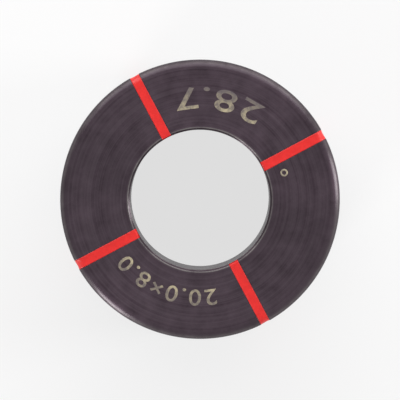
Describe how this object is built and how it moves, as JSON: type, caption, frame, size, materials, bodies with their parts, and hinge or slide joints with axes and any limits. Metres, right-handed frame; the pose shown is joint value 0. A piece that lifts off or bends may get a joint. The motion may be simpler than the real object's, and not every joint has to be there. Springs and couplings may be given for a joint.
{
  "type": "knockout die",
  "caption": "Round steel knockout die: a cup with a cutting bore, a draw stud hole through its back wall, and engraved, enamelled target lines over its back and side.",
  "frame": {"origin": "centre of the cutting face, on which the die stands", "axes": "+Z along the axis of both bores, from the cutting face to the back face; the target lines lie over +X, -X, +Y and -Y"},
  "size_m": [0.04, 0.04, 0.028],
  "materials": {
    "black_oxide_steel": "satin black oxide on turned, hardened tool steel",
    "red_enamel": "satin enamel wiped into the grooves"
  },
  "bodies": {
    "root": {"die_body": "black_oxide_steel", "target_line_paint": "red_enamel"}
  },
  "joints": []
}
